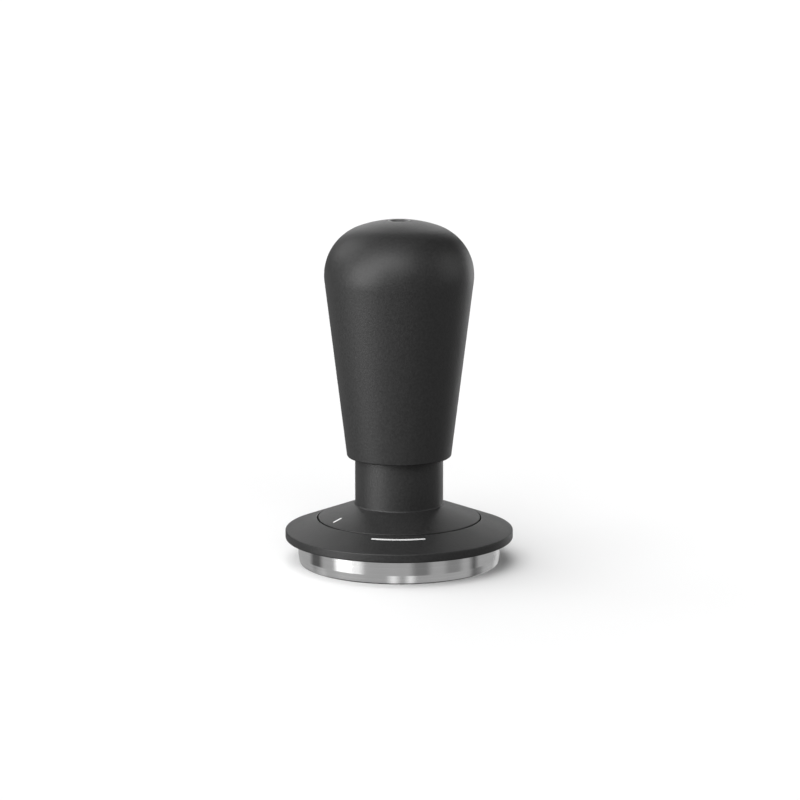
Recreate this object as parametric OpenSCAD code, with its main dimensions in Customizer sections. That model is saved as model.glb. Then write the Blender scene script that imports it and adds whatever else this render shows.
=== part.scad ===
// Espresso tamper with a spring-loaded handle, a self-levelling neck and a threaded depth ring.
// Millimetres. The tamping face is at z = 0, the axis is +Z and the index marks face -Y.

/* [Base] */
// Diameter of the tamping face's wall
base_d = 58.5; // [57.5:0.1:59]
// Height of the wall's bevel above the tamping face
bevel_h = 2.56; // [1.5:0.01:3]
// Radial width of the bevel
bevel_w = 0.41; // [0.2:0.01:0.8]
// Height of the base's upper face
base_h = 7.15; // [7:0.05:7.4]

/* [Flange] */
// Diameter of the depth ring
ring_d = 66; // [64:0.5:72]
// Height at which the ring's upper face meets its rim
ring_edge_z = 9.6; // [9.4:0.05:9.8]
// Slope of the flange's upper face, in degrees
flange_slope = 20.6; // [20:0.1:21]
// Outer radius of the inner plate
plate_r = 23.45; // [23.4:0.05:23.5]
// Width of the seam between plate and ring
seam_w = 0.3; // [0.3:0.05:0.6]

/* [Neck] */
// Diameter of the neck
neck_d = 25.5; // [25:0.1:25.6]
// Height of the neck's upper end, hidden in the handle
neck_top_z = 50; // [46:0.5:50]
// Radius of the fillet at the neck's foot
neck_fillet = 0.5; // [0.3:0.1:1.2]

/* [Handle] */
// Height of the handle's lower edge at rest
handle_z = 31.2; // [30:0.1:32]
// Radius of the handle's lower edge
handle_r = 15.05; // [14.9:0.01:16]
// Widening of the handle per millimetre of height
handle_taper = 0.1244; // [0.1:0.0001:0.13]
// Height of the handle's crown
handle_top_z = 99.93; // [99.8:0.01:100.1]
// Radius of the crown's curve
crown_r = 35.3; // [34:0.1:38]
// Radius of the shoulder's curve
shoulder_r = 14.75; // [14:0.01:15]

/* [Marks] */
// Angle from the front to the tick on the plate, clockwise from above
tick_turn = 60.4; // [30:0.1:90]
// Length of the tick
tick_len = 3; // [2:0.05:4]
// Width of the tick
tick_w = 0.8; // [0.6:0.1:1.4]
// Angle from the front to the middle of the bar on the ring, clockwise from above
bar_turn = 0.5; // [0:0.1:5]
// Angle that the bar spans
bar_span = 34.7; // [20:0.1:50]
// Width of the bar
bar_w = 0.7; // [0.5:0.1:1.4]

/* [Motion] */
// Travel of the handle down the neck
press_travel = 6; // [4:0.5:6]
// Turn of the depth ring, in degrees
ring_turn = 180; // [90:10:200]

/* [Hidden] */
$fn = 96;
eps = 0.01;
running = 0.05;

// Stem: a rod with a threaded spigot at each end
stem_r = 5;
thread_r = 4;
hub_r = 9;
hub_z = 10.5;
base_bore_z = 2.8;
stem_foot_z = 3;
collar_z = 56;
collar_h = 3;
collar_r = 13.6;
stem_top_z = 68;

// Neck and inner plate
base_r = base_d / 2;
ring_r = ring_d / 2;
neck_r = neck_d / 2;
slope = tan(flange_slope);
plate_under_z = 11;
spigot_r = 19.8;
spigot_z = 7.6;
spigot_wall = 2.6;
neck_bore_r = 10;
bush_r = 8;
bush_top_z = 18.2;
fillet_z = flange_z(neck_r + neck_fillet) + neck_fillet / cos(flange_slope);

// Depth ring
ring_under_z = 7.15;
recess_z = 8.45;
recess_r = base_r + 0.5;
ledge_z = 10.5;
ring_bore_r = spigot_r + 0.06;
ring_inner_r = plate_r + seam_w;
edge_round = 0.35;
edge_round_z = flange_z(ring_r - edge_round) - edge_round / cos(flange_slope);
seam_chamfer = 0.25;
pin_r = 0.7;
pin_track_r = 21.5;
pin_angle = 60;
groove_r = 18.9;
groove_z = 8.8;
groove_h = 1;

// Springs and the seats they push on
main_wire = 2.4;
main_coil_r = 10;
main_turns = 6.5;
spring_top_z = 86.5;
return_wire = 1.2;
return_coil_r = 7.6;
return_turns = 9;
return_seat_z = 40;
return_seat_h = 1.5;
circlip_h = 1;
circlip_r = 4.5;

// Inside of the handle
sleeve_r = 13.8;
step_z = collar_z + collar_h + press_travel + 0.5;
chamber_r = 12.6;
ceiling_z = 90;
edge_r = 0.6;
taper_angle = atan(handle_taper);

// Crown screw
screw_r = 3.4;
screw_top_z = 99.8;
screw_foot_z = 89.5;
socket_af = 4.8;
socket_depth = 3;

// Marks
mark_depth = 0.35;
mark_proud = 0.02;
tick_r = 20.4;
bar_r = 25.8;

// Handle outline: centres of the crown and shoulder arcs and the angles where they meet
crown_c = [0, handle_top_z - crown_r];
blend_r = crown_r - shoulder_r;
shoulder_x = shoulder_centre_x();
shoulder_c = [shoulder_x, crown_c[1] + sqrt(blend_r * blend_r - shoulder_x * shoulder_x)];
meet_angle = acos(shoulder_x / blend_r);

// Height of the flange's upper face at radius r
function flange_z(r) = ring_edge_z + (ring_r - r) * slope;

// Radius of the handle's straight side at height z
function side_r(z) = handle_r + (z - handle_z) * handle_taper;

// Points of an arc about c, from angle a0 to a1 in n steps
function arc(c, r, a0, a1, n) = [
  for (i = [0 : n]) let (a = a0 + (a1 - a0) * i / n) [c[0] + r * cos(a), c[1] + r * sin(a)]
];

// How far the shoulder arc at centre radius x stands outside the straight side
function side_gap(x) =
  let (z = crown_c[1] + sqrt(blend_r * blend_r - x * x))
  (x - side_r(z)) * cos(taper_angle) + shoulder_r;

// Centre radius at which the shoulder arc just touches the straight side, by halving
function shoulder_centre_x(lo = 3, hi = 12, n = 30) =
  n == 0 ? (lo + hi) / 2
  : let (mid = (lo + hi) / 2)
    side_gap(mid) > 0 ? shoulder_centre_x(lo, mid, n - 1) : shoulder_centre_x(mid, hi, n - 1);

// Closed-ended helix: height as a share of the rise for turn t of n
function helix_z(t, n, wire, rise) =
  let (dead = wire * 1.02, live = (rise - 2 * dead) / (n - 2))
  t < 1 ? t * dead
  : t > n - 1 ? rise - (n - t) * dead
  : dead + (t - 1) * live;

module coil(coil_r, wire, z0, z1, turns, steps, sides) {
  count = turns * steps;
  rise = z1 - z0 - wire;
  points = [
    for (i = [0 : count])
      let (t = i / steps, z = z0 + wire / 2 + helix_z(t, turns, wire, rise))
        for (k = [0 : sides - 1])
          let (a = 360 * k / sides, r = coil_r + wire / 2 * cos(a))
            [r * cos(360 * t), r * sin(360 * t), z + wire / 2 * sin(a)]
  ];
  walls = [
    for (i = [0 : count - 1], k = [0 : sides - 1])
      let (a = i * sides + k, b = i * sides + (k + 1) % sides)
        each [[a, a + sides, b], [b, a + sides, b + sides]]
  ];
  foot = [[for (k = [0 : sides - 1]) k]];
  head = [[for (k = [sides - 1 : -1 : 0]) count * sides + k]];
  polyhedron(points, concat(walls, foot, head));
}

module tube(outer, inner, z0, z1) {
  translate([0, 0, z0])
    difference() {
      cylinder(r = outer, h = z1 - z0);
      translate([0, 0, -eps])
        cylinder(r = inner, h = z1 - z0 + 2 * eps);
    }
}

module hexagon_prism(across_flats, z0, z1) {
  translate([0, 0, z0])
    rotate([0, 0, 30])
      cylinder(r = across_flats / sqrt(3), h = z1 - z0, $fn = 6);
}

module tick_shape() {
  rotate([0, 0, -90 - tick_turn])
    translate([tick_r, 0, flange_z(tick_r)])
      rotate([0, flange_slope, 0])
        translate([0, 0, -mark_depth]) {
          straight = tick_len - tick_w;
          translate([-straight / 2, -tick_w / 2, 0])
            cube([straight, tick_w, mark_depth + mark_proud]);
          for (side = [-1, 1])
            translate([side * straight / 2, 0, 0])
              cylinder(d = tick_w, h = mark_depth + mark_proud);
        }
}

module bar_section() {
  translate([bar_r, flange_z(bar_r)])
    rotate(-flange_slope)
      translate([-bar_w / 2, -mark_depth])
        square([bar_w, mark_depth + mark_proud]);
}

module bar_shape() {
  front = -90 - bar_turn;
  half = bar_span / 2 - bar_w / 2 / bar_r * 180 / PI;
  tip_d = bar_w * 0.94;
  rotate([0, 0, front - half])
    rotate_extrude(angle = 2 * half)
      bar_section();
  for (side = [-1, 1])
    rotate([0, 0, front + side * half])
      translate([bar_r, 0, flange_z(bar_r)])
        rotate([0, flange_slope, 0])
          translate([0, 0, -mark_depth])
            cylinder(d = tip_d, h = mark_depth + mark_proud);
}

// Polished steel piston with a bevelled lower edge and a threaded hub
module tamp_base() {
  color("silver")
    rotate_extrude()
      polygon([
        [0, 0], [base_r - bevel_w, 0], [base_r, bevel_h], [base_r, base_h], [hub_r, base_h],
        [hub_r, hub_z], [thread_r, hub_z], [thread_r, base_bore_z], [0, base_bore_z]
      ]);
}

// Steel rod that screws into the base and carries the thrust collar
module stem() {
  color("gainsboro")
    rotate_extrude()
      polygon([
        [0, stem_foot_z], [thread_r, stem_foot_z], [thread_r, hub_z], [stem_r, hub_z],
        [stem_r, return_seat_z + return_seat_h], [circlip_r, return_seat_z + return_seat_h],
        [circlip_r, return_seat_z + return_seat_h + circlip_h],
        [stem_r, return_seat_z + return_seat_h + circlip_h], [stem_r, collar_z],
        [thread_r, collar_z], [thread_r, stem_top_z], [0, stem_top_z]
      ]);
}

// Damper on the hub, on which the neck comes down
module stop_washer() {
  color("dimgray")
    tube(hub_r, stem_r + 0.1, hub_z, plate_under_z);
}

// Disc that the return spring pushes up against
module return_spring_seat() {
  color("silver")
    tube(neck_bore_r - 0.3, stem_r + running, return_seat_z, return_seat_z + return_seat_h);
}

// Open ring in the stem's groove that holds the seat
module seat_circlip() {
  clip_z = return_seat_z + return_seat_h;
  gap_w = 5;
  color("darkgray")
    difference() {
      tube(stem_r + 2, circlip_r, clip_z, clip_z + circlip_h);
      translate([0, -gap_w / 2, clip_z - eps])
        cube([stem_r + 3, gap_w, circlip_h + 2 * eps]);
    }
}

// Disc on the stem's shoulder that takes the main spring's force
module thrust_collar() {
  color("silver")
    tube(collar_r, thread_r, collar_z, collar_z + collar_h);
}

// Hexagon nut that clamps the thrust collar
module collar_nut() {
  nut_h = 6.5;
  color("gainsboro")
    difference() {
      hexagon_prism(13, collar_z + collar_h, collar_z + collar_h + nut_h);
      translate([0, 0, collar_z + collar_h - eps])
        cylinder(r = thread_r, h = nut_h + 2 * eps);
    }
}

// Calibrated spring that sets the tamping force
module main_spring() {
  color("slategray")
    coil(main_coil_r, main_wire, collar_z + collar_h, spring_top_z, main_turns, 28, 8);
}

// Light spring that brings the neck back down
module return_spring() {
  color("slategray")
    coil(return_coil_r, return_wire, bush_top_z, return_seat_z, return_turns, 20, 6);
}

// Black neck and inner plate, turned in one piece
module neck_collar() {
  lip_z = flange_z(plate_r);
  color("#2b2b2b")
    difference() {
      rotate_extrude()
        polygon(concat(
          [
            [bush_r, plate_under_z], [spigot_r - spigot_wall, plate_under_z],
            [spigot_r - spigot_wall, spigot_z], [spigot_r, spigot_z], [spigot_r, groove_z],
            [groove_r, groove_z], [groove_r, groove_z + groove_h],
            [spigot_r, groove_z + groove_h], [spigot_r, plate_under_z],
            [plate_r, plate_under_z], [plate_r, lip_z]
          ],
          arc([neck_r + neck_fillet, fillet_z], neck_fillet, 270 - flange_slope, 180, 8),
          [
            [neck_r, neck_top_z], [neck_bore_r, neck_top_z], [neck_bore_r, bush_top_z],
            [bush_r, bush_top_z]
          ]
        ));
      tick_shape();
      rotate([0, 0, pin_angle])
        translate([pin_track_r, 0, plate_under_z - eps])
          cylinder(r = pin_r, h = 1 + eps);
    }
}

// Plain bearing in the neck that runs on the stem
module neck_bush() {
  color("darkgoldenrod")
    tube(bush_r, stem_r + running, plate_under_z, bush_top_z);
}

// White inlay on the plate
module tick_mark() {
  color("white")
    tick_shape();
}

// Pin under the plate that ends the ring's turn
module stop_pin() {
  pin_foot_z = 8.6;
  color("silver")
    rotate([0, 0, pin_angle])
      translate([pin_track_r, 0, pin_foot_z])
        cylinder(r = pin_r, h = plate_under_z + 1 - pin_foot_z);
}

// Rubber ring that holds the depth ring where it is turned
module friction_o_ring() {
  cord_r = groove_h / 2 - 0.05;
  color("#181818")
    translate([0, 0, groove_z + groove_h / 2])
      rotate_extrude()
        translate([spigot_r - cord_r + 0.04, 0])
          circle(r = cord_r, $fn = 24);
}

// Low-friction washer between plate and ring
module ring_thrust_washer() {
  color("ivory")
    tube(plate_r - 0.1, plate_r - 0.95, ledge_z, plate_under_z);
}

// Arc slot in which the stop pin runs
module pin_slot() {
  slot_r = pin_r + running;
  depth = ledge_z - recess_z + 2 * eps;
  translate([0, 0, recess_z - eps])
    rotate([0, 0, pin_angle]) {
      rotate_extrude(angle = ring_turn)
        translate([pin_track_r - slot_r, 0])
          square([2 * slot_r, depth]);
      for (turn = [0, ring_turn])
        rotate([0, 0, turn])
          translate([pin_track_r, 0, 0])
            cylinder(r = slot_r, h = depth);
    }
}

// Black outer ring, threaded on the neck's spigot, whose rim comes down on the basket
module depth_ring() {
  inner_z = flange_z(ring_inner_r);
  lower_chamfer = 0.3;
  color("#2b2b2b")
    difference() {
      rotate_extrude()
        polygon(concat(
          [
            [ring_bore_r, recess_z], [recess_r, recess_z], [recess_r, ring_under_z],
            [ring_r - lower_chamfer, ring_under_z], [ring_r, ring_under_z + lower_chamfer]
          ],
          arc([ring_r - edge_round, edge_round_z], edge_round, 0, 90 - flange_slope, 6),
          [
            [ring_inner_r + seam_chamfer, flange_z(ring_inner_r + seam_chamfer)],
            [ring_inner_r, inner_z - seam_chamfer], [ring_inner_r, ledge_z],
            [ring_bore_r, ledge_z]
          ]
        ));
      bar_shape();
      pin_slot();
    }
}

// White inlay on the ring
module index_bar() {
  color("white")
    bar_shape();
}

// Black pear-shaped handle, bored from below
module handle_shell() {
  side_end = arc(shoulder_c, shoulder_r, -taper_angle, meet_angle, 24);
  crown = arc(crown_c, crown_r, meet_angle, 90 - asin((screw_r + running) / crown_r), 14);
  edge_c = [side_r(handle_z + edge_r) - edge_r / cos(taper_angle), handle_z + edge_r];
  color("#2b2b2b")
    rotate_extrude()
      polygon(concat(
        [[sleeve_r, handle_z]],
        arc(edge_c, edge_r, -90, -taper_angle, 6),
        side_end,
        [for (i = [1 : len(crown) - 1]) crown[i]],
        [
          [screw_r + running, ceiling_z], [chamber_r, ceiling_z], [chamber_r, step_z],
          [sleeve_r, step_z]
        ]
      ));
}

// Plain bearing in the handle's mouth that slides on the neck
module guide_sleeve() {
  color("darkgoldenrod")
    tube(sleeve_r, neck_r + running, handle_z + 0.2, collar_z);
}

// Damper under the handle's step
module bump_ring() {
  color("dimgray")
    tube(sleeve_r, chamber_r, step_z - 0.46, step_z);
}

// Cap on the main spring that the screw pushes down
module upper_spring_seat() {
  boss_r = main_coil_r - main_wire / 2 - 0.4;
  boss_h = 2;
  color("silver") {
    translate([0, 0, spring_top_z])
      cylinder(r = chamber_r - 0.3, h = screw_foot_z - spring_top_z);
    translate([0, 0, spring_top_z - boss_h])
      cylinder(r = boss_r, h = boss_h + eps);
  }
}

// Screw in the crown, turned with a hexagon key to preload the main spring
module preload_screw() {
  color("gray")
    difference() {
      translate([0, 0, screw_foot_z])
        cylinder(r = screw_r, h = screw_top_z - screw_foot_z);
      hexagon_prism(socket_af, screw_top_z - socket_depth, screw_top_z + eps);
    }
}

tamp_base();
stem();
stop_washer();
return_spring_seat();
seat_circlip();
thrust_collar();
collar_nut();
main_spring();
return_spring();
neck_collar();
neck_bush();
tick_mark();
stop_pin();
friction_o_ring();
ring_thrust_washer();
depth_ring();
index_bar();
handle_shell();
guide_sleeve();
bump_ring();
upper_spring_seat();
preload_screw();
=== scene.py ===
import math

import bmesh
import bpy
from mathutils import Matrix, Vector


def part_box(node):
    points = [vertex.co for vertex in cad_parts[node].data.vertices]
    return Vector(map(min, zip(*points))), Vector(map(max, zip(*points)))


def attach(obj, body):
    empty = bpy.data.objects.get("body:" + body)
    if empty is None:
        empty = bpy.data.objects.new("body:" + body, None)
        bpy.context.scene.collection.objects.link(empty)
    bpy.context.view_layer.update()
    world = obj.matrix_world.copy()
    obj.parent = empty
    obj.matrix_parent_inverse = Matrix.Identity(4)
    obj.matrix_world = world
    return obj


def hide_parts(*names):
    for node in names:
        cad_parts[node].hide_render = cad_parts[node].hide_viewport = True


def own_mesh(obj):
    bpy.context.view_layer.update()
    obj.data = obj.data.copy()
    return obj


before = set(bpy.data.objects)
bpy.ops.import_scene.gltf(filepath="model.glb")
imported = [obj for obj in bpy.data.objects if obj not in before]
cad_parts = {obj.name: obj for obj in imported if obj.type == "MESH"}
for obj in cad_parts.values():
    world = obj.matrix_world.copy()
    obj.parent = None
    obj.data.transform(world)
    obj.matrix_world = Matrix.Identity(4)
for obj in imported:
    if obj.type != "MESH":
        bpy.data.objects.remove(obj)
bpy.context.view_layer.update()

# Lengths below are in millimetres along the tamper's axis (z) and away from it (r).
# The finished meshes are in metres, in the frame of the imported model.
MM = 0.001
SEGMENTS = 192
HEX_SIDES = 6


# ---------------------------------------------------------------- sizes taken from the frame

def size_of(node):
    """Radius, lowest and highest z of a round CAD node, in millimetres."""
    low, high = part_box(node)
    return high[0] / MM, low[2] / MM, high[2] / MM


BASE_R, BASE_Z0, HUB_Z = size_of("tamp_base")
RING_R, RING_Z0 = size_of("depth_ring")[:2]
PLATE_R, SPIGOT_Z, NECK_TOP_Z = size_of("neck_collar")
HANDLE_Z0 = size_of("handle_shell")[1]
SCREW_R, SCREW_FOOT_Z, SCREW_TOP_Z = size_of("preload_screw")
SLEEVE_R, SLEEVE_Z0, SLEEVE_Z1 = size_of("guide_sleeve")
BUMP_R, BUMP_Z0, BUMP_Z1 = size_of("bump_ring")
COLLAR_R, COLLAR_Z0, COLLAR_Z1 = size_of("thrust_collar")
STEM_R, STEM_Z0, STEM_Z1 = size_of("stem")
BUSH_R, BUSH_Z0, BUSH_Z1 = size_of("neck_bush")
SEAT_R, SEAT_Z0, SEAT_Z1 = size_of("return_spring_seat")
CAP_R, CAP_Z0, CAP_Z1 = size_of("upper_spring_seat")
STOP_R, STOP_Z0, STOP_Z1 = size_of("stop_washer")
THRUST_R, THRUST_Z0, THRUST_Z1 = size_of("ring_thrust_washer")
NUT_Z0, NUT_Z1 = size_of("collar_nut")[1:]
CLIP_Z0, CLIP_Z1 = size_of("seat_circlip")[1:]
PIN_Z0, PIN_Z1 = size_of("stop_pin")[1:]
O_RING_Z0, O_RING_Z1 = size_of("friction_o_ring")[1:]
MAIN_Z0, MAIN_Z1 = size_of("main_spring")[1:]
RETURN_Z0, RETURN_Z1 = size_of("return_spring")[1:]

# Sizes that the nodes' boxes don't give
BASE_TOP_Z = 7.15
BEVEL_H = 2.56
BEVEL_W = 0.41
HUB_R = 9.0
THREAD_R = 4.0
THREAD_ROOT_R = 3.35
LEAD_IN = 0.5
STEM_BORE_R = 5.05
DAMPER_BORE_R = 5.1
WASHER_STEP = 0.95
LIP_R = 0.6
BORE_Z = 2.8
SLOPE_DEG = 20.6
SLOPE = math.tan(math.radians(SLOPE_DEG))
RIM_Z = 9.6
SEAM_W = 0.3
NECK_R = 12.75
NECK_BORE_R = 10.0
NECK_FILLET = 0.5
PLATE_UNDER_Z = 11.0
SPIGOT_R = 19.8
SPIGOT_WALL = 2.6
RECESS_Z = 8.45
RECESS_R = 29.75
LEDGE_Z = 10.5
RING_BORE_R = 19.86
HANDLE_R = 15.05
HANDLE_TAPER = 0.1244
HANDLE_TOP_Z = 99.93
CROWN_R = 35.3
SHOULDER_R = 14.75
CHAMBER_R = 12.6
CEILING_Z = 90.0
RUNNING = 0.05


def flange_z(r):
    """Height of the flange's sloping upper face."""
    return RIM_Z + (RING_R - r) * SLOPE


# ---------------------------------------------------------------- mesh tools

def arc(centre, radius, start, end, steps):
    """Points of an arc in the (r, z) plane, angles in degrees."""
    angles = [math.radians(start + (end - start) * i / steps) for i in range(steps + 1)]
    return [(centre[0] + radius * math.cos(a), centre[1] + radius * math.sin(a)) for a in angles]


def soften(corners, steps=4):
    """Turns corners (r, z, radius) into an outline with each corner rounded by its radius."""
    outline = []
    count = len(corners)
    for i, corner in enumerate(corners):
        here = Vector(corner[:2])
        radius = corner[2] if len(corner) > 2 else 0.0
        if radius <= 0:
            outline.append(tuple(here))
            continue
        back = Vector(corners[i - 1][:2]) - here
        ahead = Vector(corners[(i + 1) % count][:2]) - here
        half = back.angle(ahead) / 2
        reach = min(radius / math.tan(half), 0.48 * back.length, 0.48 * ahead.length)
        radius = reach * math.tan(half)
        middle = (back.normalized() + ahead.normalized()).normalized()
        centre = here + middle * (radius / math.sin(half))
        first = here + back.normalized() * reach - centre
        last = here + ahead.normalized() * reach - centre
        for k in range(steps + 1):
            spoke = first.slerp(last, k / steps)
            outline.append(tuple(centre + spoke * (radius / spoke.length)))
    return outline


def finish_mesh(name, verts, faces, sharp=38):
    """Makes the object from millimetre vertices, smooth with its hard edges kept."""
    mesh = bpy.data.meshes.new(name)
    mesh.from_pydata([tuple(c * MM for c in v) for v in verts], [], faces)
    shape = bmesh.new()
    shape.from_mesh(mesh)
    bmesh.ops.recalc_face_normals(shape, faces=shape.faces)
    shape.to_mesh(mesh)
    shape.free()
    for polygon in mesh.polygons:
        polygon.use_smooth = True
    mesh.set_sharp_from_angle(angle=math.radians(sharp))
    piece = bpy.data.objects.new(name, mesh)
    bpy.context.collection.objects.link(piece)
    even = piece.modifiers.new("even_shading", "WEIGHTED_NORMAL")
    even.keep_sharp = True
    return piece


def lathe(name, outline, radius_at=None, segments=SEGMENTS):
    """Turns a closed (r, z) outline about the axis. radius_at(r, z, turn) may bend the radius."""
    verts = []
    rings = []
    for r, z in outline:
        start = len(verts)
        if r < 1e-6:
            verts.append((0, 0, z))
            rings.append([start] * segments)
            continue
        for s in range(segments):
            turn = s / segments
            bent = radius_at(r, z, turn) if radius_at else r
            angle = 2 * math.pi * turn
            verts.append((bent * math.cos(angle), bent * math.sin(angle), z))
        rings.append(list(range(start, start + segments)))
    faces = []
    for i, ring in enumerate(rings):
        following = rings[(i + 1) % len(rings)]
        if ring[0] == ring[1] and following[0] == following[1]:
            continue
        for s in range(segments):
            t = (s + 1) % segments
            corners = [ring[s], ring[t], following[t], following[s]]
            faces.append(list(dict.fromkeys(corners)))
    return finish_mesh(name, verts, faces)


def hexagon_at(across_flats, turn):
    """Radius of a hexagon at a share of a full turn, with a corner towards +X."""
    sector = 1 / HEX_SIDES
    off = (turn % sector) - sector / 2
    return across_flats / 2 / math.cos(2 * math.pi * off)


def threaded(crest, root, pitch, z_from, z_to):
    """A radius_at function that cuts a screw thread between two heights."""
    def radius_at(r, z, turn):
        if abs(r - crest) > 1e-3 or not z_from < z < z_to:
            return r
        phase = ((z - z_from) / pitch - turn) % 1
        depth = 1 - abs(2 * phase - 1)
        run_out = min(1, (z - z_from) / pitch, (z_to - z) / pitch)
        return crest - (crest - root) * depth * run_out
    return radius_at


def column(r, z_from, z_to, step):
    """Closely spaced outline points up a cylinder, for a thread."""
    count = max(2, round(abs(z_to - z_from) / step))
    return [(r, z_from + (z_to - z_from) * i / count) for i in range(count + 1)]


def coil_height(wire, z_from, z_to, turns, t):
    """Height of the wire's middle after t turns of a spring with closed, ground ends."""
    ground = 0.3 * wire
    dead = 1.02 * wire
    low, high = z_from + ground, z_to - ground
    if t < 1:
        return low + t * dead
    if t > turns - 1:
        return high - (turns - t) * dead
    return low + dead + (t - 1) * (high - low - 2 * dead) / (turns - 2)


def coil(name, radius, wire, z_from, z_to, turns, first=0, last=None, steps=64, sides=20):
    """A compression spring with closed, ground ends, or its stretch from turn first to turn last."""
    start, end = round(first * steps), round((last or turns) * steps)
    verts = []
    for i in range(start, end + 1):
        z = coil_height(wire, z_from, z_to, turns, i / steps)
        turn = 2 * math.pi * i / steps
        for k in range(sides):
            a = 2 * math.pi * k / sides
            r = radius + wire / 2 * math.cos(a)
            height = min(max(z + wire / 2 * math.sin(a), z_from), z_to)
            verts.append((r * math.cos(turn), r * math.sin(turn), height))
    count = end - start
    faces = []
    for i in range(count):
        for k in range(sides):
            a = i * sides + k
            b = i * sides + (k + 1) % sides
            faces.append([a, a + sides, b + sides, b])
    faces.append(list(range(sides)))
    faces.append(list(range((count + 1) * sides - 1, count * sides - 1, -1)))
    return finish_mesh(name, verts, faces, sharp=50)


def stadium(length, width, inset, around, along):
    """Points (u, v) round a slot-shaped outline, drawn in by inset."""
    straight = length - width
    radius = width / 2 - inset
    ring = []
    for end in (1, -1):
        for k in range(around + 1):
            a = math.radians(-90 + 180 * k / around)
            ring.append((end * (straight / 2 + radius * math.cos(a)), end * radius * math.sin(a)))
        ring += [(end * straight * (0.5 - k / along), end * radius) for k in range(1, along)]
    return ring


def stadium_cap(ring, around, along):
    """Quads that close a ring made by stadium."""
    half = around + along
    faces = []
    for start in (0, half):
        for k in range(around // 2):
            quad = [k, k + 1, around - k - 1, around - k]
            faces.append([ring[start + i] for i in dict.fromkeys(quad)])
    for k in range(along):
        low_a = (2 * half - k) % (2 * half)
        low_b = half + around if k == along - 1 else 2 * half - k - 1
        faces.append([ring[around + k], ring[around + k + 1], ring[low_b], ring[low_a]])
    return faces


def inlay(name, place, length, width, depth=0.3, proud=0.03, edge=0.06, around=12, along=40):
    """A slot-shaped inlay. place(u, v, h) puts a point at u along, v across, h above the face."""
    layers = [(0.0, -depth), (0.0, proud - edge), (0.3 * edge, proud - 0.3 * edge), (edge, proud)]
    verts = []
    rings = []
    for inset, height in layers:
        outline = stadium(length, width, inset, around, along)
        rings.append(list(range(len(verts), len(verts) + len(outline))))
        verts += [place(u, v, height) for u, v in outline]
    faces = []
    size = len(rings[0])
    for low, high in zip(rings, rings[1:]):
        for s in range(size):
            t = (s + 1) % size
            faces.append([low[s], low[t], high[t], high[s]])
    faces += stadium_cap(rings[-1], around, along)
    faces += stadium_cap(rings[0], around, along)
    return finish_mesh(name, verts, faces)


# ---------------------------------------------------------------- material tools

class Nodes:
    """A small helper that writes a node tree."""

    def __init__(self, tree):
        self.tree = tree
        tree.nodes.clear()

    def add(self, kind, **settings):
        node = self.tree.nodes.new(kind)
        for key, value in settings.items():
            setattr(node, key, value)
        return node

    def link(self, source, target):
        self.tree.links.new(source, target)

    def feed(self, socket, value):
        if isinstance(value, bpy.types.NodeSocket):
            self.link(value, socket)
        else:
            socket.default_value = value

    def math(self, operation, a, b=0.0, clamp=False):
        node = self.add("ShaderNodeMath", operation=operation, use_clamp=clamp)
        self.feed(node.inputs[0], a)
        self.feed(node.inputs[1], b)
        return node.outputs[0]

    def noise(self, vector, scale, detail=2.0, rough=0.5):
        node = self.add("ShaderNodeTexNoise")
        self.link(vector, node.inputs["Vector"])
        node.inputs["Scale"].default_value = scale
        node.inputs["Detail"].default_value = detail
        node.inputs["Roughness"].default_value = rough
        return node.outputs["Fac"]

    def span(self, value, low, high, out_low, out_high):
        node = self.add("ShaderNodeMapRange")
        self.feed(node.inputs["Value"], value)
        node.inputs["From Min"].default_value = low
        node.inputs["From Max"].default_value = high
        node.inputs["To Min"].default_value = out_low
        node.inputs["To Max"].default_value = out_high
        return node.outputs["Result"]

    def shade(self, value, dark, light):
        return self.mixed(value, (*dark, 1), (*light, 1))

    def mixed(self, factor, first, second):
        node = self.add("ShaderNodeMix", data_type="RGBA")
        for name, value in (("Factor", factor), ("A", first), ("B", second)):
            self.feed(node.inputs[name], value)
        return node.outputs["Result"]

    def bump(self, height, distance, strength=1.0, under=None):
        node = self.add("ShaderNodeBump")
        self.feed(node.inputs["Height"], height)
        node.inputs["Distance"].default_value = distance
        node.inputs["Strength"].default_value = strength
        if under is not None:
            self.link(under, node.inputs["Normal"])
        return node.outputs["Normal"]


def new_material(name, colour):
    material = bpy.data.materials.new(name)
    material.use_nodes = True
    material.diffuse_color = (*colour, 1)
    nodes = Nodes(material.node_tree)
    shader = nodes.add("ShaderNodeBsdfPrincipled")
    output = nodes.add("ShaderNodeOutputMaterial")
    nodes.link(shader.outputs["BSDF"], output.inputs["Surface"])
    place = nodes.add("ShaderNodeTexCoord").outputs["Object"]
    return material, nodes, shader, place


def turned_lines(nodes, place, scale, detail=3.0):
    """Noise that only changes along and away from the axis, as a lathe leaves it."""
    split = nodes.add("ShaderNodeSeparateXYZ")
    nodes.link(place, split.inputs[0])
    square = nodes.math("ADD", nodes.math("MULTIPLY", split.outputs[0], split.outputs[0]),
                        nodes.math("MULTIPLY", split.outputs[1], split.outputs[1]))
    joined = nodes.add("ShaderNodeCombineXYZ")
    nodes.link(nodes.math("SQRT", square), joined.inputs[0])
    nodes.link(split.outputs[2], joined.inputs[2])
    return nodes.noise(joined.outputs[0], scale, detail, 0.6)


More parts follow.
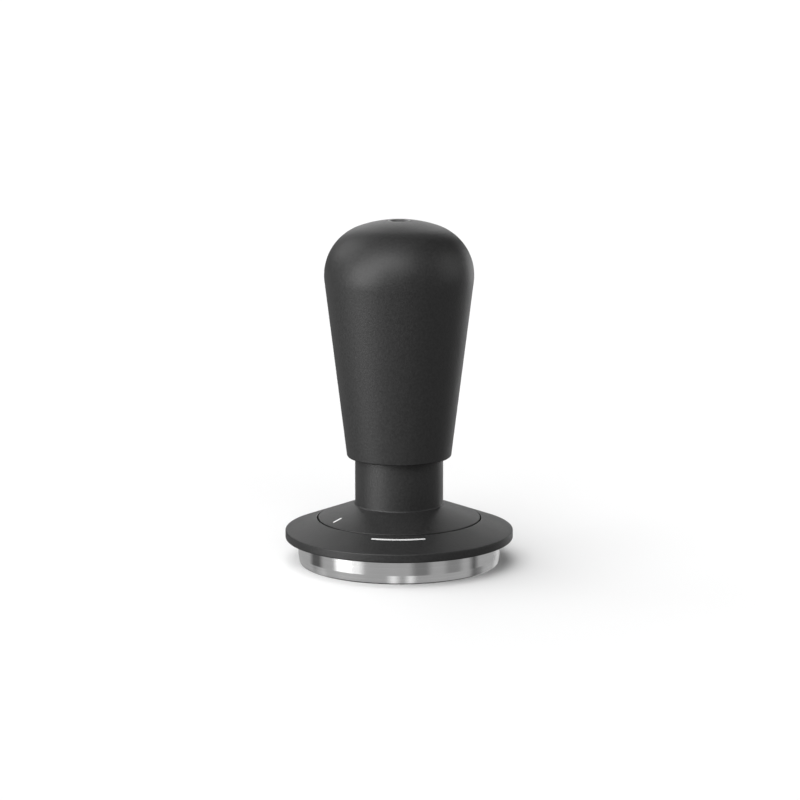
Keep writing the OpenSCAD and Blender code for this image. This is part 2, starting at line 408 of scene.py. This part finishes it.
def black_coating():
    """Matt black coating with a fine sprayed grain."""
    material, nodes, shader, place = new_material("black_coating", (0.02, 0.02, 0.02))
    grain = nodes.noise(place, 1500, 3.0, 0.6)
    pores = nodes.noise(place, 5200, 1.0, 0.5)
    cloud = nodes.noise(place, 90, 3.0, 0.55)
    nodes.link(nodes.shade(nodes.span(grain, 0.3, 0.7, 0, 1), (0.013, 0.013, 0.013),
                           (0.025, 0.025, 0.025)), shader.inputs["Base Color"])
    nodes.link(nodes.span(nodes.math("ADD", grain, nodes.math("MULTIPLY", cloud, 0.6)), 0.5, 1.1,
                          0.45, 0.56), shader.inputs["Roughness"])
    coarse = nodes.bump(grain, 0.00008, 0.6)
    nodes.link(nodes.bump(pores, 0.00002, 0.4, coarse), shader.inputs["Normal"])
    shader.inputs["IOR"].default_value = 1.5
    shader.inputs["Specular IOR Level"].default_value = 0.5
    return material


def turned_steel(name, colour, roughness, anisotropy, groove):
    """Stainless steel with the fine circular marks of turning and polishing."""
    material, nodes, shader, place = new_material(name, colour)
    fine = turned_lines(nodes, place, 9000, 2.0)
    broad = turned_lines(nodes, place, 1400, 3.0)
    wear = nodes.noise(place, 240, 4.0, 0.6)
    both = nodes.math("ADD", nodes.math("MULTIPLY", fine, 0.6), nodes.math("MULTIPLY", broad, 0.4))
    nodes.link(nodes.shade(nodes.span(both, 0.3, 0.7, 0, 1), tuple(c * 0.92 for c in colour),
                           tuple(min(1, c * 1.06) for c in colour)), shader.inputs["Base Color"])
    nodes.link(nodes.span(nodes.math("ADD", both, nodes.math("MULTIPLY", wear, 0.5)), 0.45, 1.05,
                          roughness * 0.85, roughness * 1.2), shader.inputs["Roughness"])
    nodes.link(nodes.bump(both, 0.000012, groove), shader.inputs["Normal"])
    shader.inputs["Metallic"].default_value = 1.0
    shader.inputs["Anisotropic"].default_value = anisotropy
    tangent = nodes.add("ShaderNodeTangent", direction_type="RADIAL", axis="Z")
    nodes.link(tangent.outputs[0], shader.inputs["Tangent"])
    shader.inputs["Anisotropic Rotation"].default_value = 0.25
    return material


def moulded(name, colour, roughness, grain_scale, grain_depth, sheen=0.0):
    """Moulded plastic or rubber with a fine surface grain."""
    material, nodes, shader, place = new_material(name, colour)
    grain = nodes.noise(place, grain_scale, 3.0, 0.55)
    nodes.link(nodes.shade(nodes.span(grain, 0.3, 0.7, 0, 1), tuple(c * 0.85 for c in colour),
                           tuple(min(1, c * 1.08) for c in colour)), shader.inputs["Base Color"])
    nodes.link(nodes.span(grain, 0.3, 0.7, roughness * 0.9, min(1, roughness * 1.1)),
               shader.inputs["Roughness"])
    nodes.link(nodes.bump(grain, grain_depth, 0.6), shader.inputs["Normal"])
    shader.inputs["Sheen Weight"].default_value = sheen
    return material


def sintered_bronze():
    """Oil-filled sintered bronze, with dark pores."""
    colour = (0.55, 0.36, 0.16)
    material, nodes, shader, place = new_material("sintered_bronze", colour)
    grain = nodes.noise(place, 3800, 2.0, 0.6)
    pore = nodes.span(grain, 0.36, 0.46, 0, 1)
    nodes.link(nodes.shade(pore, (0.16, 0.1, 0.05), colour), shader.inputs["Base Color"])
    nodes.link(nodes.span(grain, 0.3, 0.7, 0.5, 0.34), shader.inputs["Roughness"])
    nodes.link(nodes.bump(pore, 0.00003, 0.5), shader.inputs["Normal"])
    shader.inputs["Metallic"].default_value = 1.0
    return material


COATING = black_coating()
POLISHED = turned_steel("polished_steel", (0.82, 0.82, 0.82), 0.14, 0.75, 0.35)
MACHINED = turned_steel("machined_steel", (0.6, 0.6, 0.6), 0.3, 0.5, 0.8)
SPRING = turned_steel("spring_steel", (0.42, 0.43, 0.45), 0.32, 0.0, 0.2)
BRONZE = sintered_bronze()
WHITE = moulded("mark_paint", (0.75, 0.75, 0.75), 0.45, 4200, 0.000015)
SCREW = moulded("oxide_steel", (0.15, 0.15, 0.15), 0.5, 5200, 0.00001)
RUBBER = moulded("o_ring_rubber", (0.02, 0.02, 0.021), 0.55, 2600, 0.00003, 0.1)
DAMPER = moulded("damper_plastic", (0.2, 0.2, 0.21), 0.5, 2000, 0.00003)
IVORY = moulded("washer_plastic", (0.78, 0.75, 0.66), 0.4, 1800, 0.00002)


def place_piece(piece, node, body, material):
    """Gives a finished mesh its material and its body, and hides the CAD node that it stands for."""
    piece.data.materials.append(material)
    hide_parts(node)
    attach(piece, body)


# ---------------------------------------------------------------- piston: base, stem, springs

def tamp_base():
    outline = soften([
        (0, BASE_Z0), (BASE_R - BEVEL_W, BASE_Z0, 0.45), (BASE_R, BEVEL_H, 0.05),
        (BASE_R, BASE_TOP_Z, 0.15), (HUB_R, BASE_TOP_Z, 0.1), (HUB_R, HUB_Z, 0.2),
        (THREAD_R, HUB_Z, 0.2), (THREAD_R, BORE_Z), (0, BORE_Z)
    ])
    place_piece(lathe("base", outline), "tamp_base", "piston", POLISHED)


def stem():
    groove_r = 4.5
    pitch = 1.25
    outline = [(0, STEM_Z0)]
    outline += [(THREAD_R - LEAD_IN, STEM_Z0)]
    outline += column(THREAD_R, STEM_Z0 + LEAD_IN, HUB_Z, pitch / 10)
    outline += soften([
        (STEM_R, HUB_Z), (STEM_R, CLIP_Z0, 0.05), (groove_r, CLIP_Z0), (groove_r, CLIP_Z1),
        (STEM_R, CLIP_Z1, 0.05), (STEM_R, COLLAR_Z0)
    ])
    outline += column(THREAD_R, COLLAR_Z0, STEM_Z1 - LEAD_IN, pitch / 10)
    outline += [(THREAD_R - LEAD_IN, STEM_Z1), (0, STEM_Z1)]
    lower = threaded(THREAD_R, THREAD_ROOT_R, pitch, STEM_Z0 + LEAD_IN, HUB_Z - 1)
    upper = threaded(THREAD_R, THREAD_ROOT_R, pitch, COLLAR_Z1 + 0.2, STEM_Z1 - LEAD_IN)

    def radius_at(r, z, turn):
        return upper(r, z, turn) if z > COLLAR_Z0 else lower(r, z, turn)

    piece = lathe("stem_rod", outline, radius_at, 96)
    place_piece(piece, "stem", "piston", MACHINED)


def plain_ring(name, node, body, material, outer, inner, z_from, z_to, edge):
    """A ring of square section with broken edges."""
    outline = soften([
        (outer, z_from, edge), (outer, z_to, edge), (inner, z_to, edge), (inner, z_from, edge)
    ])
    place_piece(lathe(name, outline), node, body, material)


def seat_circlip():
    """Open spring ring, a rounded rectangular section swept round all but a gap."""
    inner, outer, gap = 4.5, 7.0, 22
    steps = 96
    verts = []
    section = soften([
        (outer, CLIP_Z0, 0.08), (outer, CLIP_Z1, 0.08), (inner, CLIP_Z1, 0.08), (inner, CLIP_Z0, 0.08)
    ], 2)
    for i in range(steps + 1):
        a = math.radians(gap + (360 - 2 * gap) * i / steps)
        verts += [(r * math.cos(a), r * math.sin(a), z) for r, z in section]
    size = len(section)
    faces = []
    for i in range(steps):
        for k in range(size):
            a = i * size + k
            b = i * size + (k + 1) % size
            faces.append([a, b, b + size, a + size])
    faces.append(list(range(size))[::-1])
    faces.append(list(range(steps * size, (steps + 1) * size)))
    piece = finish_mesh("circlip", verts, faces)
    place_piece(piece, "seat_circlip", "piston", MACHINED)


def collar_nut():
    across_flats, chamfer = 13.0, 0.75
    corner_r = across_flats / math.sqrt(3)
    steps = 8
    outline = [(THREAD_R + 0.01, NUT_Z0)]
    outline += [(corner_r - chamfer * (1 - i / steps), NUT_Z0 + 0.45 * i / steps)
                for i in range(steps + 1)]
    outline += [(corner_r - chamfer * i / steps, NUT_Z1 - 0.45 + 0.45 * i / steps)
                for i in range(steps + 1)]
    outline += [(THREAD_R + 0.5, NUT_Z1), (THREAD_R + 0.01, NUT_Z1 - 0.5)]

    def radius_at(r, z, turn):
        return min(r, hexagon_at(across_flats, turn))

    piece = lathe("nut", outline, radius_at)
    place_piece(piece, "collar_nut", "piston", MACHINED)


def shorten(spring):
    """Gives a spring a mesh of its own."""
    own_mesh(spring)


def springs():
    """The main spring is two stretches that meet in one section, the lower riding with the piston and
    the upper with the handle.
    """
    radius, wire, turns = 10.0, 2.4, 6.5
    size = (radius, wire, MAIN_Z0, MAIN_Z1, turns)
    meeting_turn, press_travel, preload_travel = 4, 6.0, 3.0
    lower = coil("main_coil", *size, last=meeting_turn)
    place_piece(lower, "main_spring", "piston", SPRING)
    shorten(lower)
    upper = coil("main_coil_top", *size, first=meeting_turn)
    # This stretch stands for no CAD node of its own, since the lower one replaces the spring.
    upper.data.materials.append(SPRING)
    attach(upper, "handle")
    shorten(upper)

    back = coil("return_coil", 7.6, 1.2, RETURN_Z0, RETURN_Z1, 9.0, steps=48, sides=16)
    place_piece(back, "return_spring", "piston", SPRING)
    shorten(back)


def piston():
    tamp_base()
    stem()
    plain_ring("stop_damper", "stop_washer", "piston", DAMPER,
               STOP_R, DAMPER_BORE_R, STOP_Z0, STOP_Z1, 0.12)
    plain_ring("spring_seat", "return_spring_seat", "piston", MACHINED,
               SEAT_R, STEM_BORE_R, SEAT_Z0, SEAT_Z1, 0.2)
    seat_circlip()
    plain_ring("force_collar", "thrust_collar", "piston", MACHINED,
               COLLAR_R, THREAD_R, COLLAR_Z0, COLLAR_Z1, 0.3)
    collar_nut()
    springs()


# ---------------------------------------------------------------- levelling neck and depth ring

def neck_collar():
    groove_r, groove_z, groove_h = 18.9, 8.8, 1.0
    outline = soften([
        (BUSH_R, BUSH_Z1), (BUSH_R, PLATE_UNDER_Z, 0.15),
        (SPIGOT_R - SPIGOT_WALL, PLATE_UNDER_Z, 0.2), (SPIGOT_R - SPIGOT_WALL, SPIGOT_Z, 0.15),
        (SPIGOT_R, SPIGOT_Z, 0.2), (SPIGOT_R, groove_z, 0.04), (groove_r, groove_z),
        (groove_r, groove_z + groove_h), (SPIGOT_R, groove_z + groove_h, 0.04),
        (SPIGOT_R, PLATE_UNDER_Z), (PLATE_R, PLATE_UNDER_Z, 0.1),
        (PLATE_R, flange_z(PLATE_R), 0.16), (NECK_R, flange_z(NECK_R), NECK_FILLET),
        (NECK_R, NECK_TOP_Z, 0.4), (NECK_BORE_R, NECK_TOP_Z, 0.3), (NECK_BORE_R, BUSH_Z1)
    ], 6)
    piece = lathe("neck_and_plate", outline)
    place_piece(piece, "neck_collar", "leveller", COATING)


def on_flange(angle, r_mid, radial):
    """Puts inlay coordinates on the cone: along the radius, or around the axis."""
    tilt = math.radians(SLOPE_DEG)

    def place(u, v, h):
        if radial:
            r = r_mid + u * math.cos(tilt) + h * math.sin(tilt)
            z = flange_z(r_mid) - u * math.sin(tilt) + h * math.cos(tilt)
            turn = angle + v / r
        else:
            r = r_mid - v * math.cos(tilt) + h * math.sin(tilt)
            z = flange_z(r_mid) + v * math.sin(tilt) + h * math.cos(tilt)
            turn = angle + u / r_mid
        return (r * math.cos(turn), r * math.sin(turn), z)
    return place


def marks():
    front = math.radians(-90)
    tick_r, tick_len, tick_w, tick_turn = 20.4, 3.0, 0.8, math.radians(60.4)
    bar_r, bar_span, bar_w, bar_turn = 25.8, math.radians(34.7), 0.7, math.radians(0.5)
    tick = inlay("tick", on_flange(front - tick_turn, tick_r, True), tick_len, tick_w)
    place_piece(tick, "tick_mark", "leveller", WHITE)
    bar = inlay("bar", on_flange(front - bar_turn, bar_r, False), bar_span * bar_r, bar_w)
    place_piece(bar, "index_bar", "ring", WHITE)


def stop_pin():
    radius = 0.7
    track_r, angle = 21.5, math.radians(60)
    outline = soften([(0, PIN_Z0), (radius, PIN_Z0, 0.15), (radius, PIN_Z1, 0.1), (0, PIN_Z1)])
    piece = lathe("ring_pin", outline, None, 32)
    shift = Vector((track_r * math.cos(angle), track_r * math.sin(angle), 0)) * MM
    for vertex in piece.data.vertices:
        vertex.co += shift
    place_piece(piece, "stop_pin", "leveller", MACHINED)


def friction_o_ring():
    cord_r = (O_RING_Z1 - O_RING_Z0) / 2
    centre = (size_of("friction_o_ring")[0] - cord_r, (O_RING_Z0 + O_RING_Z1) / 2)
    outline = arc(centre, cord_r, 0, 360, 24)[:-1]
    place_piece(lathe("o_ring", outline), "friction_o_ring", "leveller", RUBBER)


def depth_ring():
    inner = PLATE_R + SEAM_W
    outline = soften([
        (RING_BORE_R, RECESS_Z, 0.1), (RECESS_R, RECESS_Z), (RECESS_R, RING_Z0, 0.15),
        (RING_R, RING_Z0, 0.4), (RING_R, RIM_Z, 0.35), (inner, flange_z(inner), 0.22),
        (inner, LEDGE_Z), (RING_BORE_R, LEDGE_Z, 0.15)
    ], 5)
    place_piece(lathe("rim_ring", outline), "depth_ring", "ring", COATING)


def leveller():
    neck_collar()
    marks()
    plain_ring("neck_bearing", "neck_bush", "leveller", BRONZE,
               BUSH_R, STEM_BORE_R, BUSH_Z0, BUSH_Z1, 0.25)
    stop_pin()
    friction_o_ring()
    plain_ring("slip_washer", "ring_thrust_washer", "ring_washer", IVORY,
               THRUST_R, PLATE_R - WASHER_STEP, THRUST_Z0, THRUST_Z1, 0.1)
    depth_ring()


# ---------------------------------------------------------------- handle and crown screw

def shoulder_centre(crown_z):
    """Centre of the shoulder arc that touches both the crown arc and the straight side."""
    gap = CROWN_R - SHOULDER_R
    lean = math.cos(math.atan(HANDLE_TAPER))
    low, high = 3.0, 12.0
    for _ in range(40):
        middle = (low + high) / 2
        z = crown_z + math.sqrt(gap * gap - middle * middle)
        side = HANDLE_R + (z - HANDLE_Z0) * HANDLE_TAPER
        if (middle - side) * lean + SHOULDER_R > 0:
            high = middle
        else:
            low = middle
    return (low, crown_z + math.sqrt(gap * gap - low * low))


def handle_shell():
    crown_z = HANDLE_TOP_Z - CROWN_R
    centre = shoulder_centre(crown_z)
    meet = math.degrees(math.acos(centre[0] / (CROWN_R - SHOULDER_R)))
    lean = math.degrees(math.atan(HANDLE_TAPER))
    mouth_r = SCREW_R + RUNNING
    crown_end = 90 - math.degrees(math.asin((mouth_r + 0.12) / CROWN_R))
    shoulder = arc(centre, SHOULDER_R, -lean, meet, 48)
    crown = arc((0, crown_z), CROWN_R, meet, crown_end, 28)[1:]
    mouth_z = crown[-1][1]
    steps = 24
    foot = (HANDLE_R, HANDLE_Z0)
    side = [(foot[0] + (shoulder[0][0] - foot[0]) * i / steps,
             foot[1] + (shoulder[0][1] - foot[1]) * i / steps) for i in range(1, steps)]
    outline = soften([(SLEEVE_R, HANDLE_Z0, 0.15), (HANDLE_R, HANDLE_Z0, LIP_R)] + side
                     + shoulder + crown + [
        (mouth_r, mouth_z - 0.1), (mouth_r, CEILING_Z), (CHAMBER_R, CEILING_Z, 1.5),
        (CHAMBER_R, BUMP_Z1, 0.1), (SLEEVE_R, BUMP_Z1)
    ], 6)
    place_piece(lathe("grip", outline, None, 256), "handle_shell", "handle", COATING)


def preload_screw():
    """Threaded screw with a hexagon socket, its rim broken by a small chamfer."""
    across_flats, depth, cone = 4.8, 3.0, 0.9
    corner_r = across_flats / math.sqrt(3)
    pitch = 1.0
    floor_z = SCREW_TOP_Z - depth
    thread_end = SCREW_TOP_Z - 1.2
    shank = [(0, SCREW_FOOT_Z), (SCREW_R - 0.5, SCREW_FOOT_Z)]
    shank += column(SCREW_R, SCREW_FOOT_Z + 0.5, thread_end, pitch / 10)
    head = soften([
        (SCREW_R, thread_end), (SCREW_R, SCREW_TOP_Z, 0.16), (corner_r + 0.1, SCREW_TOP_Z, 0.05),
        (corner_r, SCREW_TOP_Z - 0.12), (corner_r, floor_z), (0, floor_z - cone)
    ])[1:]
    cut = threaded(SCREW_R, SCREW_R - 0.55, pitch, SCREW_FOOT_Z + 0.5, thread_end)

    def radius_at(r, z, turn):
        if z > floor_z - 0.01 and r < corner_r + 0.02:
            return min(r, hexagon_at(across_flats, turn))
        return cut(r, z, turn)

    piece = lathe("crown_screw_part", shank + head, radius_at, 96)
    place_piece(piece, "preload_screw", "crown_screw", SCREW)


def upper_spring_seat():
    boss_r, flange_z0 = 8.4, MAIN_Z1
    outline = soften([
        (0, CAP_Z0), (boss_r, CAP_Z0, 0.5), (boss_r, flange_z0, 0.1), (CAP_R, flange_z0, 0.2),
        (CAP_R, CAP_Z1, 0.3), (0, CAP_Z1)
    ])
    piece = lathe("spring_cap", outline)
    place_piece(piece, "upper_spring_seat", "preload_seat", MACHINED)


def handle():
    handle_shell()
    plain_ring("handle_bearing", "guide_sleeve", "handle", BRONZE,
               SLEEVE_R, NECK_R + RUNNING, SLEEVE_Z0, SLEEVE_Z1, 0.2)
    plain_ring("handle_damper", "bump_ring", "handle", DAMPER,
               BUMP_R, CHAMBER_R, BUMP_Z0, BUMP_Z1, 0.12)
    upper_spring_seat()
    preload_screw()


# ---------------------------------------------------------------- studio

def camera():
    data = bpy.data.cameras.new("camera")
    data.sensor_width = 36
    data.lens = 158.2
    data.shift_x = 0.00107
    data.clip_start = 0.05
    data.clip_end = 20
    lens = bpy.data.objects.new("camera", data)
    lens.location = (0, -0.9946, 0.2415)
    lens.rotation_euler = (math.radians(90 - 11.033), 0, 0)
    bpy.context.collection.objects.link(lens)
    bpy.context.scene.camera = lens


PAPER = 0.9


def floor():
    half = 6.0
    mesh = bpy.data.meshes.new("floor")
    mesh.from_pydata([(-half, -half, 0), (half, -half, 0), (half, half, 0), (-half, half, 0)], [],
                     [(0, 1, 2, 3)])
    plane = bpy.data.objects.new("floor", mesh)
    bpy.context.collection.objects.link(plane)
    material, nodes, shader, place = new_material("floor_paper", (PAPER, PAPER, PAPER))
    shader.inputs["Base Color"].default_value = (PAPER, PAPER, PAPER, 1)
    shader.inputs["Roughness"].default_value = 0.9
    shader.inputs["Specular IOR Level"].default_value = 0.0
    mesh.materials.append(material)
    # The studio below the horizon lights the tamper as a white table would, so the paper itself
    # only shows to the camera and takes the shadow.
    plane.visible_glossy = False
    plane.visible_diffuse = False
    plane.visible_shadow = False
    return plane


# Soft boxes a metre away: name, azimuth, elevation, width, height, power. Azimuth 0 is the
# camera's side and it grows to the right. A wash on the floor has its softness in degrees and its
# share of the paper's brightness in place of a size and a power.
SOFT_BOXES = (
    ("key", -55, 15, 0.6, 0.6, 7),
    ("key_low", -65, -5, 0.4, 0.2, 1.5),
    ("over_front", -20, 45, 1, 0.6, 7.5),
    ("left_rim", -120, 35, 0.6, 0.6, 2.5),
    ("back", 180, 25, 0.6, 0.6, 2.5),
    ("right_rim", 145, 0, 0.4, 0.4, 1.2),
    ("right_fill", 90, 20, 0.6, 0.6, 2),
    ("top", 0, 85, 0.4, 0.4, 0.5))
FLOOR_LIGHTS = (
    ("floor_overhead", -40, 75, 60, 0.5),
    ("floor_left", -70, 50, 80, 0.2),
    ("floor_back_left", -145, 40, 60, 0.15),
    ("floor_front", 0, 25, 60, 0.15))


def aimed(name, light, azimuth, elevation, distance):
    """Puts a light where it faces the middle of the tamper."""
    lamp = bpy.data.objects.new(name, light)
    a, e = math.radians(azimuth), math.radians(elevation)
    target = Vector((0, 0, 0.05))
    way = Vector((math.sin(a) * math.cos(e), -math.cos(a) * math.cos(e), math.sin(e)))
    lamp.location = target + way * distance
    lamp.rotation_euler = way.to_track_quat("Z", "Y").to_euler()
    bpy.context.collection.objects.link(lamp)
    return lamp


def panel(name, azimuth, elevation, width, height, power):
    light = bpy.data.lights.new(name, "AREA")
    light.shape = "RECTANGLE"
    light.size = width
    light.size_y = height
    light.energy = power
    return aimed(name, light, azimuth, elevation, 1.0)


def wash(name, azimuth, elevation, softness, share):
    """A wide sun that gives the white paper this share of its brightness."""
    light = bpy.data.lights.new(name, "SUN")
    light.angle = math.radians(softness)
    light.energy = share * math.pi / (PAPER * math.sin(math.radians(elevation)))
    return aimed(name, light, azimuth, elevation, 1.0)


def light_only(lamps, name, target, state):
    """Lets these lamps light only the target (INCLUDE), or everything else (EXCLUDE)."""
    group = bpy.data.collections.new(name)
    group.objects.link(target)
    group.collection_objects[0].light_linking.link_state = state
    for lamp in lamps:
        lamp.light_linking.receiver_collection = group


# Cards that stand around the tamper at two heights below the horizon, in front of grey cloth:
# name, azimuth of the middle, width in degrees, brightness. The upright wall of the base mirrors
# the upper row and its bevel mirrors the lower one.
UPPER_CARDS = (
    ("black_flag", -110, 20, 0.1),
    ("white_card", -60, 34, 1),
    ("front_flag", 25, 20, 0.2),
    ("side_flag", 65, 20, 0.25),
    ("black_strip", 95, 10, 0.1),
    ("back_card", 155, 20, 0.6))
LOWER_CARDS = (
    ("back_left_flag", -150, 20, 0.1),
    ("left_card", -110, 20, 0.6),
    ("front_strip", -7, 10, 1),
    ("narrow_strip", 14, 8, 1),
    ("right_flag", 108, 20, 0.1),
    ("back_right_card", 140, 15, 0.8))
CLOTH = 0.4
CARD_EDGE = 4
CARD_SPLIT = -0.4
NADIR = (-0.75, -0.6)
HORIZON = (-0.1, 0)
ROOM = 0.03


def card_row(nodes, turn, cards):
    """Brightness around the horizon: grey cloth with soft-edged cards in front of it."""
    ramp = nodes.add("ShaderNodeValToRGB")
    nodes.link(turn, ramp.inputs["Fac"])
    stops = ramp.color_ramp.elements
    while len(stops) > 1:
        stops.remove(stops[-1])
    stops[0].position = 0
    stops[0].color = (CLOTH, CLOTH, CLOTH, 1)
    for _, azimuth, width, brightness in cards:
        half = width / 2
        for offset, shade in ((-half - CARD_EDGE, CLOTH), (-half + CARD_EDGE, brightness),
                              (half - CARD_EDGE, brightness), (half + CARD_EDGE, CLOTH)):
            stop = stops.new((azimuth + offset + 180) / 360)
            stop.color = (shade, shade, shade, 1)
    return ramp.outputs["Color"]


def surroundings():
    world = bpy.data.worlds.new("studio")
    bpy.context.scene.world = world
    world.use_nodes = True
    nodes = Nodes(world.node_tree)
    way = nodes.add("ShaderNodeSeparateXYZ")
    nodes.link(nodes.add("ShaderNodeTexCoord").outputs["Generated"], way.inputs[0])
    x, y, z = way.outputs
    azimuth = nodes.math("ARCTAN2", x, nodes.math("MULTIPLY", y, -1.0))
    turn = nodes.span(azimuth, -math.pi, math.pi, 0, 1)
    upper = card_row(nodes, turn, UPPER_CARDS)
    lower = card_row(nodes, turn, LOWER_CARDS)
    cards = nodes.mixed(nodes.span(z, CARD_SPLIT - 0.03, CARD_SPLIT + 0.03, 0, 1), lower, upper)
    low = nodes.mixed(nodes.span(z, *NADIR, 0, 1), (ROOM, ROOM, ROOM, 1), cards)
    room = nodes.mixed(nodes.span(z, *HORIZON, 0, 1), low, (ROOM, ROOM, ROOM, 1))
    seen = nodes.add("ShaderNodeLightPath").outputs["Is Camera Ray"]
    background = nodes.add("ShaderNodeBackground")
    nodes.link(nodes.mixed(seen, room, (1, 1, 1, 1)), background.inputs["Color"])
    output = nodes.add("ShaderNodeOutputWorld")
    nodes.link(background.outputs[0], output.inputs["Surface"])


def studio():
    scene = bpy.context.scene
    scene.view_settings.view_transform = "Standard"
    scene.view_settings.look = "None"
    camera()
    paper = floor()
    surroundings()
    boxes = [panel(*box) for box in SOFT_BOXES]
    light_only(boxes, "all_but_the_floor", paper, "EXCLUDE")
    light_only([wash(*light) for light in FLOOR_LIGHTS], "floor_only", paper, "INCLUDE")


piston()
leveller()
handle()
studio()
